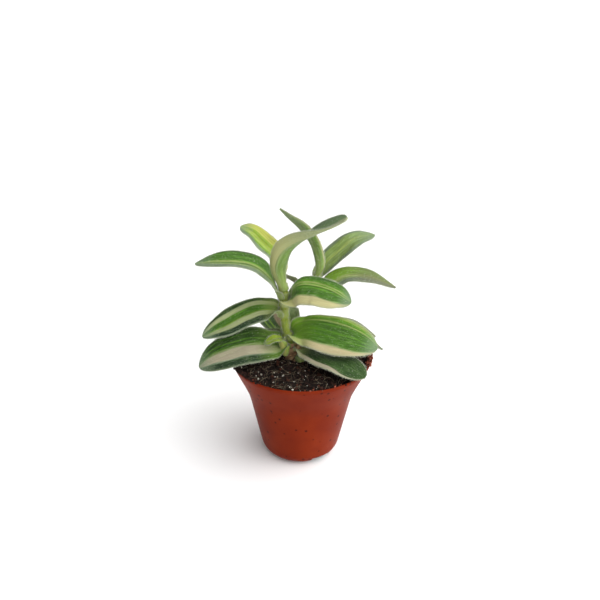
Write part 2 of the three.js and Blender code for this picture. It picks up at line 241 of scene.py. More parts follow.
# Each leaf, from the lowest up. Start and sheath say how far up the stem its sheath starts and how long
# the sheath is. Midrib gives the points that the blade runs through, and facing the way its upper side
# looks at the root and at the tip. Width is the full width, widest how far along that lies, trough how
# strongly the blade is rolled across (1/mm) and pointed how sharp its end is. Neck share is the neck's
# width as a share of the full width, and root half turn how far half of the root reaches round the stem.
# Bands run from one margin, at -1, to the other, at 1. Each gives the place where it ends and its tint,
# and drift moves them to the second margin on the way to the tip. Root tint is the colour that the blade
# takes towards the stem, and how far along that starts. Tip is the same for its end.
FRONT_STEM = {
    "points": [(-1.5, 1, 38), (-2.2, 0.5, 45), (-4.6, 0, 51), (-6.2, 0, 57), (-7, 0, 62), (-7.5, 0, 67.5),
               (-7.4, 0, 72), (-7.4, 0, 76.5), (-8.4, 0, 80.5), (-8.9, 0.3, 82.8)],
    "foot_radius": 1.9,
    "top_radius": 1.3,
    "leaves": [
        {"start": 8.6, "sheath": 2.4, "width": 15, "widest": 0.6, "trough": -0.02, "pointed": 0.1,
         "midrib": [(2, -3.5, 50), (9, -8.5, 50.5), (17, -14.5, 50.5), (25.5, -21, 47.5)],
         "facing": [(0, 0, 1), (0.2, -0.3, 1)],
         "bands": [(0.76, "deep"), (1, "pink")], "drift": 0.35, "tip": ("deep", 0.95)},
        {"start": 12, "sheath": 2.6, "width": 19, "widest": 0.5, "trough": 0.03, "pointed": 0.2,
         "midrib": [(-14, -4, 52.5), (-21, -6, 53), (-28.5, -9, 52), (-35, -11, 50), (-41.5, -13, 46.5)],
         "facing": [(0, -0.5, 0.9), (-0.2, -0.4, 0.9)],
         "bands": [(-0.56, "night"), (-0.5, "grey"), (0.05, "pink"), (0.16, "pale"), (0.28, "green"),
                   (0.4, "deep"), (0.44, "grass"), (0.68, "deep"), (0.72, "green"), (1, "deep")],
         "drift": 0.4, "root_tint": ("fresh", 0.42)},
        {"start": 16.2, "sheath": 2.6, "width": 20, "widest": 0.55, "trough": -0.02, "pointed": 0.3,
         "midrib": [(2.5, -3, 59.5), (10.5, -5, 59.5), (18.5, -7, 58.5), (25.5, -9, 57), (31, -10, 54.5)],
         "facing": [(0, -0.5, 0.9), (0.1, -0.4, 0.9)],
         "bands": [(-0.84, "line"), (-0.78, "fresh"), (-0.6, "grass"), (-0.53, "line"), (-0.4, "green"),
                   (-0.36, "grass"), (-0.06, "green"), (-0.02, "grass"), (0.2, "green"), (0.24, "grass"),
                   (0.62, "green"), (0.68, "pale"), (1, "buff")],
         "drift": 0.3, "root_tint": ("fresh", 0.4)},
        {"start": 27, "sheath": 3.5, "width": 14.5, "widest": 0.5, "trough": 0.04, "pointed": 0.3,
         "midrib": [(-16.5, -1, 67.2), (-23, -3, 65.8), (-29.5, -6, 63.5), (-35.5, -8, 61), (-40, -10, 59)],
         "facing": [(0, -0.4, 0.9), (-0.2, -0.4, 0.9)],
         "bands": [(-0.94, "grey"), (-0.52, "night"), (-0.12, "milk"), (-0.04, "fresh"), (0.3, "green"),
                   (0.38, "grass"), (0.74, "milk"), (1, "deep")], "drift": 0},
        {"start": 31.8, "sheath": 3, "width": 16, "widest": 0.55, "trough": -0.02, "pointed": 0.2,
         "midrib": [(-1.5, -4, 77.5), (4.5, -5, 78.5), (10, -7, 78), (14.5, -8, 77), (19.5, -9, 74.5)],
         "facing": [(0, -0.4, 0.9), (0, -0.4, 0.9)],
         "bands": [(-0.7, "green"), (-0.5, "grass"), (-0.4, "line"), (-0.3, "grass"), (-0.25, "line"),
                   (-0.12, "green"), (-0.08, "grass"), (0.4, "green"), (0.46, "pale"), (1, "cream")],
         "drift": 0.5},
        {"start": 35.3, "sheath": 2.6, "width": 13, "widest": 0.54, "trough": 0.06, "pointed": 0.4,
         "neck_share": 0.36, "root_half_turn": 0.36 * math.pi,
         "midrib": [(-13.4, -3.5, 83.2), (-18.2, -4.2, 87.9), (-25.3, -5.2, 90.2), (-33.5, -6, 90.6),
                    (-42, -6.5, 89.4)],
         "facing": [(0.2, -0.2, 1), (0, -0.2, 1)],
         "bands": [(-0.6, "grey"), (-0.34, "pale"), (-0.22, "green"), (0.02, "line"), (0.12, "grass"),
                   (0.9, "green"), (1, "deep")], "drift": 0},
        {"start": 39.2, "sheath": 2.2, "width": 9.4, "widest": 0.45, "trough": 0.26, "pointed": -0.4,
         "neck_share": 0.25, "root_half_turn": 0.36 * math.pi,
         "midrib": [(-9.8, -5.4, 86.5), (-9.3, -6.8, 91), (-6.8, -8.3, 96.2), (-2.5, -9.8, 100),
                    (2.2, -11, 102.9), (10.1, -13, 107.6), (16.3, -15, 111.9)],
         "facing": [(0.2, 1.3, -0.3), (-0.3, -0.4, 0.9)],
         "bands": [(-0.92, "grey"), (-0.5, "green"), (-0.44, "fresh"), (-0.05, "grass"), (0.12, "pale"),
                   (1, "butter")], "drift": 0, "tip": ("grey", 0.44)},
        {"start": 42.4, "sheath": 2, "width": 10.6, "widest": 0.5, "trough": 0.12, "pointed": 0,
         "neck_share": 0.35, "root_half_turn": 0.3 * math.pi,
         "midrib": [(-10.8, 7.2, 87.6), (-16.2, 11, 92), (-21, 13.6, 95.9), (-25.8, 15, 97.8)],
         "facing": [(0.5, -0.6, 0.6), (0.4, -0.5, 0.7)],
         "bands": [(-0.66, "grey"), (-0.36, "fresh"), (-0.28, "line"), (-0.1, "lime"), (-0.04, "line"),
                   (0.14, "lime"), (0.18, "fresh"), (0.34, "lime"), (0.4, "fresh"), (0.56, "straw"),
                   (0.61, "lime"), (0.77, "straw"), (0.82, "lime"), (1, "straw")], "drift": 0},
    ],
}
BACK_STEM = {
    "points": [(-1.5, 8, 38), (-2.2, 8, 45), (-5, 9, 53), (-6.8, 9, 60), (-6.2, 9.6, 65.5), (-3, 10.5, 69),
               (1.5, 11.7, 72), (5, 12.8, 75), (6.6, 13.2, 77.6), (7, 13.4, 80)],
    "foot_radius": 1.7,
    "top_radius": 1.2,
    "leaves": [
        {"start": 7.8, "sheath": 1.8, "width": 9, "widest": 0.5, "trough": 0.1, "pointed": 0.8,
         "midrib": [(5, 11.5, 48), (16, 13.5, 48), (26, 13.5, 48.3), (36, 11, 43)],
         "facing": [(0, 0, 1), (0.2, 0, 1)],
         "bands": [(-0.4, "brown"), (0.3, "husk"), (1, "brown")], "drift": 0,
         "root_tint": ("brown", 0.3), "dried": True},
        {"start": 11.6, "sheath": 2, "width": 20, "widest": 0.4, "trough": 0.06, "pointed": 0.5,
         "neck_share": 0.42,
         "midrib": [(-7.5, 15, 51.3), (-10, 20.5, 52.4), (-11.5, 26.5, 52.4), (-13, 32.5, 50.8),
                    (-15.5, 38, 48)],
         "facing": [(0, -0.5, 0.9), (0, -0.1, 1)],
         "bands": [(-0.75, "deep"), (-0.7, "fresh"), (-0.5, "deep"), (-0.46, "fresh"), (-0.2, "deep"),
                   (0.1, "husk"), (0.5, "moss"), (1, "pale")], "drift": 0},
        {"start": 14.6, "sheath": 2, "width": 12, "widest": 0.5, "trough": 0.05, "pointed": 0.3,
         "midrib": [(4, 12, 54), (12.5, 13.5, 53), (23, 15.5, 51.7), (33, 15.5, 47)],
         "facing": [(0, -0.1, 1), (0.2, -0.1, 1)],
         "bands": [(-0.5, "grey"), (-0.2, "pale"), (0.4, "moss"), (1, "pale")], "drift": 0,
         "tip": ("mauve", 0.5)},
        {"start": 33.4, "sheath": 1.8, "width": 4.6, "widest": 0.35, "trough": 0.1, "pointed": 0.5,
         "neck_share": 0.5, "root_half_turn": 0.2 * math.pi,
         "midrib": [(-2.2, 13.8, 73.2), (-4.8, 16.2, 74.3), (-8, 18, 75), (-11.5, 19.2, 74.8)],
         "facing": [(0.2, 0.7, 0.5), (0, 0.75, 0.65)],
         "bands": [(-0.3, "mauve"), (0.3, "brown"), (1, "mauve")], "drift": 0, "root_tint": ("mauve", 0.3)},
        {"start": 38.4, "sheath": 2, "width": 12, "widest": 0.45, "trough": 0.06, "pointed": 0.7,
         "midrib": [(10.5, 9, 74.2), (18, 10.5, 77.8), (24.5, 11, 78), (30.5, 10.5, 77), (39.5, 9.5, 73.5)],
         "facing": [(0, -0.2, 1), (0, -0.2, 1)],
         "bands": [(-0.16, "fresh"), (0.14, "line"), (0.4, "pale"), (1, "grey")], "drift": 0,
         "tip": ("mauve", 0.45)},
        {"start": 42.6, "sheath": 1.8, "width": 11.4, "widest": 0.45, "trough": 0.08, "pointed": 0.4,
         "neck_share": 0.2, "root_half_turn": 0.12 * math.pi,
         "midrib": [(11.2, 17.5, 81.8), (13.5, 18.2, 83.8), (16.7, 19, 86.5), (20.2, 20, 89.4),
                    (24, 21.4, 91.1), (31, 23.4, 91.9)],
         "facing": [(-0.5, -0.5, 0.7), (-0.2, -0.5, 0.8)],
         "bands": [(-0.8, "grey"), (-0.2, "moss"), (0.06, "line"), (0.14, "pale"), (0.76, "moss"),
                   (1, "grey")],
         "drift": 0, "tip": ("grey", 0.7)},
        {"start": 45.4, "sheath": 1.8, "width": 6, "widest": 0.52, "trough": 0.15, "pointed": 0.6,
         "neck_share": 0.25, "root_half_turn": 0.14 * math.pi,
         "midrib": [(7.5, 10.3, 82.6), (6.1, 13.1, 88.4), (3.7, 16, 92.8), (-0.2, 19, 96.6), (-5, 21.5, 99.7),
                    (-9.7, 23.5, 103.2)],
         "facing": [(0.2, 0.9, 0.2), (0.3, 0.8, 0.5)],
         "bands": [(-0.86, "cream"), (-0.7, "moss"), (-0.3, "grass"), (-0.22, "deep"), (0.02, "grass"),
                   (0.14, "line"), (0.5, "grass"), (0.56, "deep"), (1, "green")], "drift": 0,
         "tip": ("grey", 0.62)},
    ],
}

# The side shoot's leaf. It and the two below start from a root that isn't on a stem's sheath. Root gives
# the points that this runs through, inward the way its inside faces and radius what it is rolled to.
SIDE_SHOOT = {
    "root": [(-7.6, -2.8, 53.6), (-8.2, -3.6, 55)],
    "inward": (0.6, 0.8, 0),
    "radius": 0.9,
    "width": 5.5, "widest": 0.5, "trough": 0.2, "pointed": 0.5,
    "midrib": [(-11, -6, 56.2), (-15, -7.9, 54.9)],
    "facing": [(0, -0.2, 1), (-0.2, -0.2, 1)],
    "neck_length": 1.6,
    "unroll_length": 4,
    "bands": [(-0.3, "lime"), (0.2, "line"), (1, "lime")], "drift": 0,
}

# A still rolled young leaf below the side shoot, and a closed bud at the soil.
ROLLED_LEAF = {
    "root": [(-6.9, -4, 47.6), (-7.1, -4.2, 48.6)],
    "inward": (0.5, 0.85, 0),
    "radius": 1.1,
    "width": 6.6, "widest": 0.45, "trough": 0.6, "pointed": 0.5,
    "midrib": [(-7.5, -4.7, 50.6), (-8, -5.1, 53.2), (-8.5, -5.4, 56.2)],
    "facing": [(0.5, 0.85, 0), (0.5, 0.85, 0.2)],
    "neck_length": 1,
    "unroll_length": 2,
    "bands": [(-0.4, "lime"), (0.3, "straw"), (1, "lime")], "drift": 0,
}
BUD = {
    "root": [(-1, -3.6, 44.2), (-0.9, -4.2, 45)],
    "inward": (0.1, 1, 0),
    "radius": 1.6,
    "width": 7.4, "widest": 0.4, "trough": 0.5, "pointed": 0,
    "midrib": [(-0.5, -5.2, 46), (0.2, -5.6, 47.8)],
    "facing": [(0.1, 1, 0), (0.2, 1, 0.2)],
    "neck_length": 0.8,
    "unroll_length": 2,
    "bands": [(-0.5, "pale"), (0.1, "line"), (1, "pale")], "drift": 0,
}

# Hairs: white, fine and soft. Lengths and widths in millimetres, numbers for each square millimetre.
HAIR_RADIUS = 0.028
HAIR_LENGTH = 0.85
UPPER_HAIRS = 0.9
LOWER_HAIRS = 4
STEM_HAIRS = 7
STEM_HAIRS_START = 6.5
# Hairs for each millimetre of a leaf's margin, and hairs round each sheath's mouth.
FRINGE_HAIRS = 14
MOUTH_HAIRS = 70


def linear(colour):
    """The linear red, green, blue and alpha of an sRGB hex colour."""
    parts = [int(colour[i:i + 2], 16) / 255 for i in (1, 3, 5)]
    return [c / 12.92 if c <= 0.04045 else ((c + 0.055) / 1.055) ** 2.4 for c in parts] + [1]


def per_metre(size):
    """How many times a pattern of this size in millimetres fits into a metre."""
    return 1 / (size * MM)


def smoothstep(x, low, high):
    """0 below low, 1 above high and smooth between."""
    share = np.clip((x - low) / (high - low), 0, 1)
    return share * share * (3 - 2 * share)


def unit(vectors):
    """The vectors at length 1."""
    return vectors / np.linalg.norm(vectors, axis=-1, keepdims=True)


class SmoothCurve:
    """A centripetal Catmull-Rom curve through the points, read by distance along it."""

    SAMPLES = 60

    def __init__(self, points):
        points = np.array(points, float)
        ends = [2 * points[:1] - points[1:2], points, 2 * points[-1:] - points[-2:-1]]
        row = np.concatenate(ends)
        t = np.linspace(0, 1, self.SAMPLES, endpoint=False)[:, None]
        path = []
        for p0, p1, p2, p3 in zip(row, row[1:], row[2:], row[3:]):
            d0, d1, d2 = (math.sqrt(np.linalg.norm(b - a)) for a, b in ((p0, p1), (p1, p2), (p2, p3)))
            out = ((p1 - p0) / d0 - (p2 - p0) / (d0 + d1) + (p2 - p1) / d1) * d1
            into = ((p2 - p1) / d1 - (p3 - p1) / (d1 + d2) + (p3 - p2) / d2) * d1
            cubic = 2 * p1 - 2 * p2 + out + into
            square = -3 * p1 + 3 * p2 - 2 * out - into
            path.append(p1 + t * (out + t * (square + t * cubic)))
        path.append(points[-1:])
        self.path = np.concatenate(path)
        steps = np.linalg.norm(np.diff(self.path, axis=0), axis=1)
        self.distance = np.concatenate([[0], np.cumsum(steps)])
        self.length = self.distance[-1]
        self.slope = unit(np.gradient(self.path, self.distance, axis=0))

    def point(self, distance):
        """Where the curve is at these distances."""
        return np.stack([np.interp(distance, self.distance, self.path[:, k]) for k in range(3)], -1)

    def tangent(self, distance):
        """Which way the curve runs at these distances."""
        return unit(np.stack([np.interp(distance, self.distance, self.slope[:, k]) for k in range(3)], -1))


def add_node(tree, kind, inputs=(), **settings):
    """Adds a node with its settings, its input values and its links."""
    made = tree.nodes.new(kind)
    for name, value in settings.items():
        setattr(made, name, value)
    for socket, value in dict(inputs).items():
        if isinstance(value, bpy.types.NodeSocket):
            tree.links.new(value, made.inputs[socket])
        else:
            made.inputs[socket].default_value = value
    return made


def new_material(name, **finish):
    """An empty material with one Principled shader. Returns it, its tree and the shader."""
    material = bpy.data.materials.new(name)
    material.use_nodes = True
    tree = material.node_tree
    tree.nodes.clear()
    shader = add_node(tree, "ShaderNodeBsdfPrincipled")
    for socket, value in finish.items():
        shader.inputs[socket.replace("_", " ")].default_value = value
    add_node(tree, "ShaderNodeOutputMaterial", {"Surface": shader.outputs["BSDF"]})
    return material, tree, shader


def fill_ramp(ramp_node, stops):
    """Gives a colour ramp its stops, each a place and a linear colour."""
    ramp = ramp_node.color_ramp
    while len(ramp.elements) > 1:
        ramp.elements.remove(ramp.elements[-1])
    ramp.elements[0].position, ramp.elements[0].color = stops[0]
    for place, colour in stops[1:]:
        ramp.elements.new(place).color = colour


def add_piece(name, points, faces, material, attributes=()):
    """A mesh object from points in millimetres and faces of three or four corners."""
    mesh = bpy.data.meshes.new(name)
    mesh.vertices.add(len(points))
    mesh.vertices.foreach_set("co", (np.asarray(points) * MM).astype(np.float32).ravel())
    sizes = np.concatenate([np.full(len(f), f.shape[1]) for f in faces])
    corners = np.concatenate([f.ravel() for f in faces])
    mesh.loops.add(len(corners))
    mesh.loops.foreach_set("vertex_index", corners.astype(np.int32))
    mesh.polygons.add(len(sizes))
    mesh.polygons.foreach_set("loop_start", np.concatenate([[0], np.cumsum(sizes)[:-1]]).astype(np.int32))
    mesh.polygons.foreach_set("use_smooth", np.ones(len(sizes), bool))
    mesh.update(calc_edges=True)
    mesh.validate()
    for key, values in dict(attributes).items():
        mesh.attributes.new(key, "FLOAT", "POINT").data.foreach_set("value", values.astype(np.float32))
    mesh.materials.append(material)
    piece = bpy.data.objects.new(name, mesh)
    bpy.context.scene.collection.objects.link(piece)
    return piece


def dress(piece, slot, *nodes):
    """Puts a piece on the plant's one body, in place of these nodes. The slot is not used."""
    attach(piece, BODY)
    if nodes:
        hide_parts(*nodes)


def gather(name, parts, material, slot):
    """One piece of many small parts, each with its points, its faces and a tone of its own."""
    all_points, all_faces, tones = [], [], []
    count = 0
    for points, faces, tone in parts:
        all_points.append(points)
        all_faces.append(faces + count)
        tones.append(np.full(len(points), tone))
        count += len(points)
    piece = add_piece(name, np.concatenate(all_points), [np.concatenate(all_faces)], material,
                      {"tone": np.concatenate(tones)})
    dress(piece, slot)


def ring_faces(rings, sides):
    """Quads between closed rings of points, laid ring after ring."""
    ring, side = np.meshgrid(np.arange(rings - 1), np.arange(sides), indexing="ij")
    after = (side + 1) % sides
    quads = [ring * sides + side, ring * sides + after, (ring + 1) * sides + after, (ring + 1) * sides + side]
    return np.stack(quads, -1).reshape(-1, 4)


def cap_faces(first, sides, middle, flip):
    """Triangles that close a ring with a middle point."""
    side = np.arange(sides)
    after = (side + 1) % sides
    pair = [first + after, first + side] if flip else [first + side, first + after]
    return np.stack([*pair, np.full(sides, middle)], -1)


def bare_radius(stem, distance, length):
    """The stem's radius between its nodes."""
    return stem["foot_radius"] + (stem["top_radius"] - stem["foot_radius"]) * distance / length


def root_on_stem(stem, leaf):
    """The leaf's rib, the way its root's inside faces, and the radius its root is rolled to. The root
    touches the sheath here, where the solid keeps clear of it."""
    curve = SmoothCurve(stem["points"])
    low, high = (leaf["start"] + share * leaf["sheath"] for share in ROOT_SPAN)
    outward = np.array(leaf["midrib"][0]) - curve.point(high)
    direction = curve.tangent(high)
    outward = unit(outward - direction * (outward @ direction))
    radius = bare_radius(stem, leaf["start"], curve.length) + SHEATH_WALL + SHEATH_FLARE + ROOT_THICKNESS / 2
    root = [curve.point(low) + outward * radius, curve.point(high) + outward * (radius + ROOT_LEAN)]
    return SmoothCurve([*root, *leaf["midrib"]]), -outward, radius


def blade_half_width(leaf, along):
    """Half the blade's width from its neck, at 0, to its tip, at 1."""
    half = leaf["width"] / 2
    neck = min(NECK_HALF_WIDTH, leaf.get("neck_share", NECK_SHARE) * half)
    before = neck + (half - neck) * np.sin(np.clip(along / leaf["widest"], 0, 1) * math.pi / 2)
    rest = np.clip((along - leaf["widest"]) / (1 - leaf["widest"]), 0, 1)
    closing = END_CLOSING - POINTED_CLOSING * leaf["pointed"]
    fullness = END_FULLNESS + POINTED_FULLNESS * leaf["pointed"]
    fall = (1 - rest ** closing) ** fullness
    return np.where(along < leaf["widest"], before, np.maximum(TIP_HALF_WIDTH, half * fall))


def blade_surface(leaf, lay, distance, across):
    """The blade's middle surface at distances up the rib and shares across: points, the way the upper
    side faces, the way the rib runs, the way to the margin, and half the blade's thickness."""
    rib, inward, radius = lay
    neck_length = leaf.get("neck_length", NECK_LENGTH)
    along = np.clip(distance / rib.length, 0, 1)[..., None]
    unrolled = smoothstep(distance, 0, leaf.get("unroll_length", UNROLL_LENGTH))[..., None]
    first, last = (np.array(f, float) for f in leaf["facing"])
    facing = unit(first + (last - first) * along)
    facing = inward + (facing - inward) * unrolled
    tangent = rib.tangent(distance)
    side = unit(np.cross(tangent, facing))
    normal = np.cross(side, tangent)
    necked = smoothstep(distance, 0, neck_length)
    root_width = leaf.get("root_half_turn", ROOT_HALF_TURN) * radius
    half_width = root_width * (1 - necked) + blade_half_width(leaf, along[..., 0]) * necked
    bend = 1 / radius + (leaf["trough"] - 1 / radius) * unrolled[..., 0]
    bend = np.where(np.abs(bend) < FLATTEST_BEND, FLATTEST_BEND, bend)
    angle = across * half_width * bend
    sine, cosine = np.sin(angle)[..., None], np.cos(angle)[..., None]
    spread = bend[..., None]
    up = normal * cosine - side * sine
    points = rib.point(distance) + side * sine / spread + normal * (1 - cosine) / spread
    # The margins of each leaf wave in a phase of their own. Waves and groove die out at the tip.
    phase = leaf["width"] + leaf["widest"]
    wave = MARGIN_WAVE * across ** 2 * np.sin(MARGIN_WAVES * math.tau * along[..., 0] + phase + 2 * across)
    groove = MIDRIB_GROOVE * np.exp(-(across * half_width / MIDRIB_WIDTH) ** 2)
    points = points + up * ((wave - groove) * necked * (1 - along[..., 0] ** 6))[..., None]
    body = BLADE_THICKNESS + (MARGIN_THICKNESS - BLADE_THICKNESS) * across ** 2
    thickness = ROOT_THICKNESS + (body - ROOT_THICKNESS) * necked
    return points, up, tangent, side * cosine + normal * sine, thickness / 2


def make_blade(name, leaf, lay, material):
    """A closed blade with rounded margins: rings of points run over the upper side and back below."""
    turn = np.linspace(0, math.tau, 2 * LEAF_COLUMNS, endpoint=False)
    spread = np.sign(np.cos(turn)) * (1 - (1 - np.abs(np.cos(turn))) ** COLUMN_CROWDING)
    share = np.linspace(0, 1, LEAF_ROWS)
    distance = lay[0].length * (share - ROW_CROWDING * np.sin(math.tau * share))
    distance, across = np.meshgrid(distance, spread, indexing="ij")
    points, up, _, _, half = blade_surface(leaf, lay, distance, across)
    rounding = np.sign(np.sin(turn)) * np.sqrt(1 - np.abs(spread) ** MARGIN_ROUNDING)
    points = points + up * (half * rounding)[..., None]
    rings, sides = across.shape
    ends = points[[0, -1]].mean(1)
    places = np.concatenate([points.reshape(-1, 3), ends])
    count = rings * sides
    faces = [ring_faces(rings, sides)[:, ::-1],
             np.concatenate([cap_faces(0, sides, count, False),
                             cap_faces(count - sides, sides, count + 1, True)])]
    length = lay[0].length
    attributes = {
        "along": np.concatenate([(distance / length).ravel(), [0, 1]]),
        "across": np.concatenate([across.ravel(), [0, 0]]),
        "under": np.concatenate([np.broadcast_to(rounding < 0, across.shape).ravel(), [0, 0]]),
    }
    return add_piece(name, places, faces, material, attributes)


def leaf_material(name, leaf):
    """Living leaf tissue, grown in green and bare cream bands that follow its parallel veins, under a
    skin felted with white hairs. The felt hides nearly all shine and gives the eye a soft pale bloom."""
    material, tree, shader = new_material(
        name, Roughness=0.6, Specular_IOR_Level=0.18, Sheen_Weight=0.1, Sheen_Roughness=0.45,
        Sheen_Tint=linear("#eef2e4"))
    across, along, under = (add_node(tree, "ShaderNodeAttribute", attribute_name=key).outputs["Fac"]
                            for key in ("across", "along", "under"))
    veins = vein_noise(tree, across, along, leaf["width"] / VEIN_PITCH, 2.5)
    fine_veins = vein_noise(tree, across, along, FINE_VEINS * leaf["width"] / VEIN_PITCH, 9)
    clouds = vein_noise(tree, across, along, 1.5, 2.2)
    place = band_place(tree, leaf["drift"], across, along, clouds, veins)
    bands = add_node(tree, "ShaderNodeValToRGB", {"Fac": place})
    fill_ramp(bands, band_stops(leaf["bands"]))
    colour = vein_shade(tree, bands.outputs["Color"], veins, fine_veins)
    root_tint, root_reach = leaf.get("root_tint", COMMON_ROOT_TINT)
    tip_tint, tip_start = leaf.get("tip", COMMON_TIP)
    edge = add_node(tree, "ShaderNodeMath", {0: across}, operation="ABSOLUTE").outputs[0]
    fades = (
        ("felt", fine_veins, 0.5, 0.72, 0.2, "LINEAR"),
        (root_tint, along, root_reach, 0.03, 0.6, "SMOOTHSTEP"),
        (tip_tint, along, tip_start - 0.12, min(1, tip_start + 0.28), 0.65, "SMOOTHSTEP"),
        ("underside", under, 0, 1, 0.32, "LINEAR"),
        ("margin", edge, 0.88, 1, 0.55, "SMOOTHSTEP"),
    )
    for tint, value, start, end, strength, course in fades:
        colour = fade(tree, colour, linear(TINTS[tint]), value, start, end, strength, course)
    tree.links.new(colour, shader.inputs["Base Color"])
    bump = add_node(tree, "ShaderNodeBump", {"Height": veins, "Strength": 0.5, "Distance": 0.3 * MM})
    tree.links.new(bump.outputs["Normal"], shader.inputs["Normal"])
    return material


def vein_noise(tree, across, along, number, lengths):
    """Noise drawn out along the leaf into this number of streaks across it."""
    spread = add_node(tree, "ShaderNodeMath", {0: across, 1: number / 2}, operation="MULTIPLY").outputs[0]
    run = add_node(tree, "ShaderNodeMath", {0: along, 1: lengths}, operation="MULTIPLY").outputs[0]
    place = add_node(tree, "ShaderNodeCombineXYZ", {"X": spread, "Y": run, "Z": number}).outputs[0]
    return add_node(tree, "ShaderNodeTexNoise",
                    {"Vector": place, "Scale": 1, "Detail": 1.5, "Roughness": 0.6}).outputs["Fac"]


def band_place(tree, drift, across, along, clouds, veins):
    """Where a spot lies among the bands, from 0 to 1. The bands drift sideways to the tip, and their
    edges wander with the clouds and fray with the veins."""
    place = 0.5 - (BAND_WANDER + BAND_FRAY) / 2 + drift / 4
    for value, share in ((clouds, BAND_WANDER), (veins, BAND_FRAY), (across, 0.5), (along, -drift / 2)):
        place = add_node(tree, "ShaderNodeMath", {0: value, 1: share, 2: place},
                         operation="MULTIPLY_ADD").outputs[0]
    return place


def vein_shade(tree, colour, veins, fine_veins):
    """Shades a leaf's colour along its veins. Cream tissue has no green in it, so its veins hardly show."""
    shade = 1
    for value, low, high in ((veins, 0.57, 0.98), (fine_veins, 0.74, 1.24)):
        streaks = add_node(tree, "ShaderNodeMapRange",
                           {"Value": value, "From Min": 0.32, "From Max": 0.68,
                            "To Min": low, "To Max": high})
        shade = add_node(tree, "ShaderNodeMath", {0: streaks.outputs[0], 1: shade},
                         operation="MULTIPLY").outputs[0]
    redness = add_node(tree, "ShaderNodeSeparateColor", {0: colour}).outputs[0]
    creaminess = add_node(tree, "ShaderNodeMapRange",
                          {"Value": redness, "From Min": 0.22, "From Max": 0.45, "To Min": 0, "To Max": 0.7})
    shade = add_node(tree, "ShaderNodeMix", {"Factor": creaminess.outputs[0], 2: shade, 3: 0.8}).outputs[0]
    return add_node(tree, "ShaderNodeVectorMath", {0: colour, "Scale": shade}, operation="SCALE").outputs[0]


def fade(tree, colour, tint, value, start, end, strength, course="SMOOTHSTEP"):
    """Fades a colour into a tint while a value runs from its start to its end, up to the strength."""
    factor = add_node(tree, "ShaderNodeMapRange",
                      {"Value": value, "From Min": start, "From Max": end, "To Min": 0, "To Max": strength},
                      interpolation_type=course).outputs[0]
    return add_node(tree, "ShaderNodeMix", {"Factor": factor, 6: colour, 7: tint},
                    data_type="RGBA").outputs[2]


def band_stops(bands):
    """Stops for the bands across a leaf, from -1 to 1 laid out on 0 to 1, with soft edges between."""
    starts = [-1] + [end for end, _ in bands[:-1]]
    stops = []
    for start, (end, tint) in zip(starts, bands):
        soft = min(BAND_SOFTNESS, 0.3 * (end - start))
        stops += [((place + 1) / 2, linear(TINTS[tint])) for place in (start + soft, end - soft)]
    return stops


def hair_material():
    """Plant hair: hollow dead cells full of air, which scatter light and look white."""
    material, _, _ = new_material(
        "white_leaf_hair", Roughness=0.6, Specular_IOR_Level=0.3, Base_Color=linear("#c3c6b2"))
    return material


def spikes(roots, directions, lengths, radius):
    """Closed three-sided hairs: four points and four triangles each."""
    across = unit(np.cross(directions, np.roll(directions, 1, axis=1) + 0.01))
    other = np.cross(directions, across)
    turns = (0, math.tau / 3, math.tau * 2 / 3)
    corners = [roots + radius * (math.cos(turn) * across + math.sin(turn) * other) for turn in turns]
    tips = roots + directions * lengths[:, None]
    points = np.stack([*corners, tips], 1).reshape(-1, 3)
    pattern = np.array([(0, 1, 3), (1, 2, 3), (2, 0, 3), (0, 2, 1)])
    faces = (np.arange(len(roots))[:, None, None] * 4 + pattern).reshape(-1, 3)
    return points, faces


def leaf_hairs(leaf, lay, draw):
    """Roots, directions and lengths of the hairs on one leaf."""
    length = lay[0].length
    table = np.linspace(0, 1, 200)
    widths = blade_half_width(leaf, table)
    area = 2 * widths.mean() * length
    total = np.concatenate([[0], np.cumsum(widths)])
    found = []
    for sign, number in ((1, UPPER_HAIRS), (-1, LOWER_HAIRS)):
        count = int(area * number)
        distance = np.interp(draw.random(count), total / total[-1], np.linspace(0, 1, 201)) * length
        across = draw.uniform(-0.97, 0.97, count)
        points, up, tangent, side, half = blade_surface(leaf, lay, distance, across)
        lean = draw.normal(0, 0.35, (count, 1))
        ways = unit(up * sign * 0.6 + tangent * 0.7 + side * lean)
        roots = points + up * (sign * half * 0.9)[:, None]
        found.append((roots, ways, HAIR_LENGTH * draw.uniform(0.5, 1, count)))
    count = int(2 * length * FRINGE_HAIRS)
    distance = draw.uniform(0, 1, count) * length
    edge = draw.choice([-1.0, 1.0], count)
    points, up, tangent, side, _ = blade_surface(leaf, lay, distance, edge)
    ways = unit(side * edge[:, None] + tangent * draw.uniform(0.2, 1.1, (count, 1))
                + up * draw.normal(0, 0.45, (count, 1)))
    found.append((points, ways, HAIR_LENGTH * draw.uniform(0.6, 1.3, count)))
    return found


def stem_frame(curve, distance):
    """The stem's axis there, and its right, back and up directions."""
    up = curve.tangent(distance)
    right = unit(np.array([1.0, 0, 0]) - up * up[..., :1])
    return curve.point(distance), right, np.cross(up, right), up


def stem_radius(stem, length, distance):
    """The stem's radius with its swollen nodes and the sheaths round it, and where the sheaths are."""
    radius = bare_radius(stem, distance, length)
    sheathed = np.zeros_like(distance)
    for leaf in stem["leaves"]:
        start, mouth = leaf["start"], leaf["start"] + leaf["sheath"]
        node = NODE_SWELLING * np.exp(-((distance - start + SWELLING_DROP) / SWELLING_SPAN) ** 2)
        below_mouth = 1 - smoothstep(distance, mouth, mouth + 0.15)
        inside = smoothstep(distance, start - 0.4, start + 0.3) * below_mouth
        flare = SHEATH_FLARE * np.clip((distance - start) / leaf["sheath"], 0, 1) ** 2
        radius = radius + node + inside * (SHEATH_WALL + flare)
        sheathed = np.maximum(sheathed, inside)
    end = np.clip((distance - (length - 1)), 0, 1)
    return radius * np.sqrt(1 - 0.98 * end ** 2), sheathed


